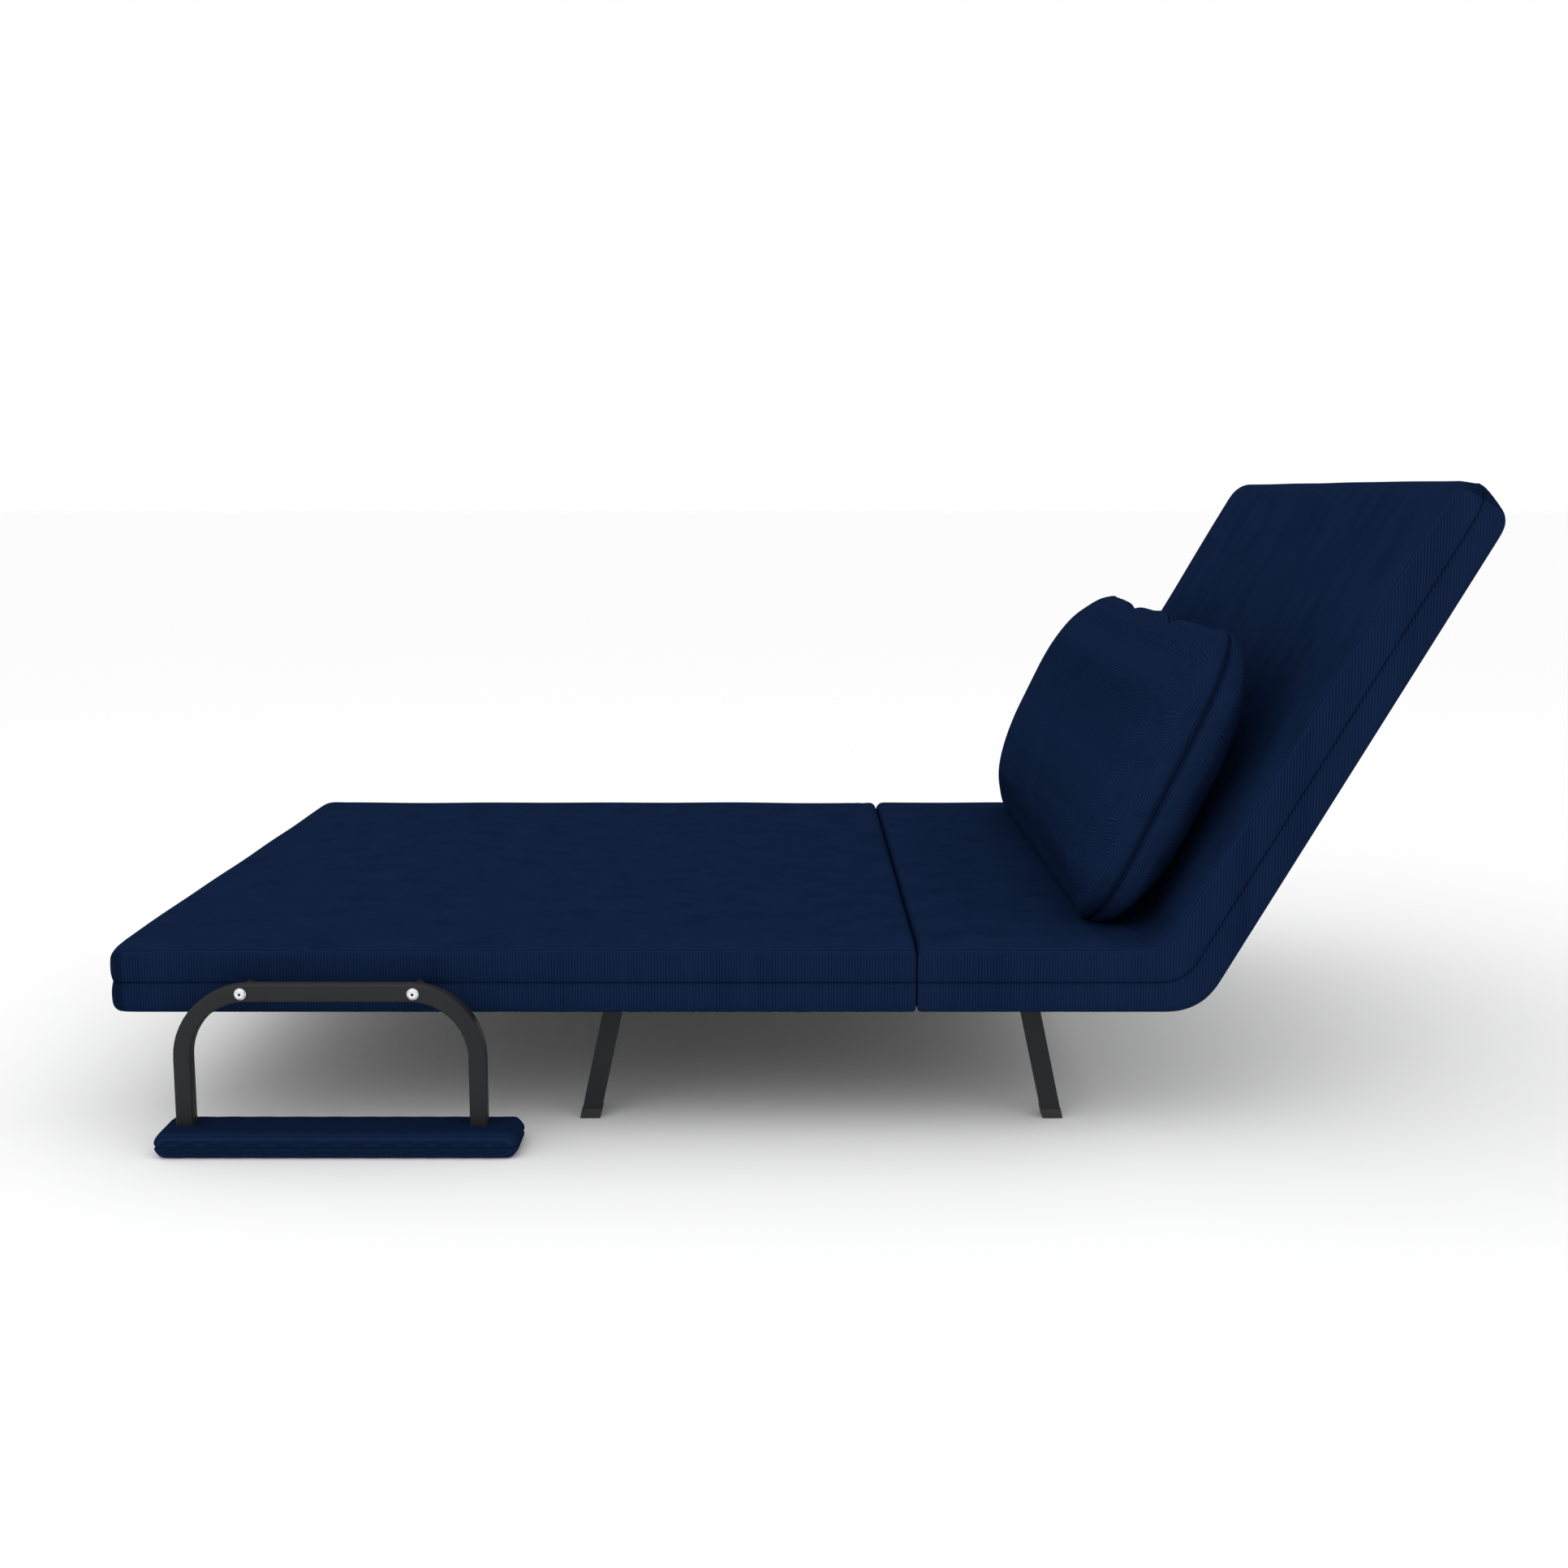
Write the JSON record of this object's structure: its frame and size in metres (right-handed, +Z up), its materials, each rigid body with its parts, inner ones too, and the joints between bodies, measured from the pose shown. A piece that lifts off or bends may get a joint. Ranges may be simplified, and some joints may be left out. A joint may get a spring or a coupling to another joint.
{
  "type": "futon sofa bed",
  "caption": "Folding futon sofa bed: flip-out foot section with padded arm loops, notched reclining back and a loose pillow.",
  "frame": {"origin": "on the floor, at the middle of the outline seen from above", "axes": "+X from the foot end to the back, +Y across the bed, +Z up"},
  "size_m": [1.6359, 1.231, 0.7791],
  "materials": {
    "navy_corduroy": "ribbed navy polyester upholstery cloth",
    "black_steel": "satin black powder-coated steel",
    "zinc_bolt": "bright zinc-plated steel",
    "black_webbing": "woven elastic webbing",
    "lining_cloth": "non-woven black lining",
    "black_plastic": "moulded black polypropylene",
    "plywood": "birch plywood",
    "hinge_steel": "zinc-plated pressed steel"
  },
  "bodies": {
    "seat_section": {"base_frame": "black_steel", "seat_straps": "black_webbing", "seat_cushion_front": "navy_corduroy", "seat_cushion_rear": "navy_corduroy", "base_underside_cloth": "lining_cloth", "seat_hinge_plates": "hinge_steel", "fold_pins": "hinge_steel", "ratchet_brackets": "hinge_steel", "back_hinge_pins": "hinge_steel", "pawl_pins": "hinge_steel", "front_legs": "black_steel", "rear_legs": "black_steel", "leg_glides": "black_plastic", "leg_bolts": "zinc_bolt"},
    "foot_section": {"foot_frame": "black_steel", "foot_straps": "black_webbing", "foot_cushion": "navy_corduroy", "foot_underside_cloth": "lining_cloth", "foot_hinge_plates": "hinge_steel", "arm_loop_near": "black_steel", "arm_loop_far": "black_steel", "arm_bolts": "zinc_bolt", "arm_washers": "zinc_bolt", "arm_spacers": "black_plastic", "arm_pad_near": "navy_corduroy", "arm_pad_far": "navy_corduroy", "arm_boards": "plywood", "loop_plugs": "black_plastic", "board_screws": "zinc_bolt"},
    "back_section": {"back_frame": "black_steel", "back_straps": "black_webbing", "back_cushion": "navy_corduroy", "back_rear_cloth": "lining_cloth", "ratchet_sectors": "hinge_steel"},
    "pawls": {"ratchet_pawls": "hinge_steel"},
    "loose_pillow": {"pillow": "navy_corduroy"}
  },
  "joints": [
    {"name": "foot_fold", "type": "hinge", "parent": "seat_section", "child": "foot_section", "pos_m": [-0.24, 0, 0.2305], "axis": [0, 1, 0], "range_deg": [0, 180]},
    {"name": "back_recline", "type": "hinge", "parent": "seat_section", "child": "back_section", "pos_m": [0.469, 0, 0.18], "axis": [0, 1, 0], "range_deg": [-15, 60]},
    {"name": "pawl_release", "type": "hinge", "parent": "seat_section", "child": "pawls", "pos_m": [0.4451, 0, 0.2], "axis": [0, 1, 0], "range_deg": [0, 12]},
    {"name": "pillow_lift", "type": "slide", "parent": "back_section", "child": "loose_pillow", "axis": [0.5, 0, 0.866], "range_m": [0, 0.33087]}
  ],
  "couplings": [
    {"joint": "pillow_lift", "follows": "foot_fold", "m_per_rad": 0.105}
  ]
}
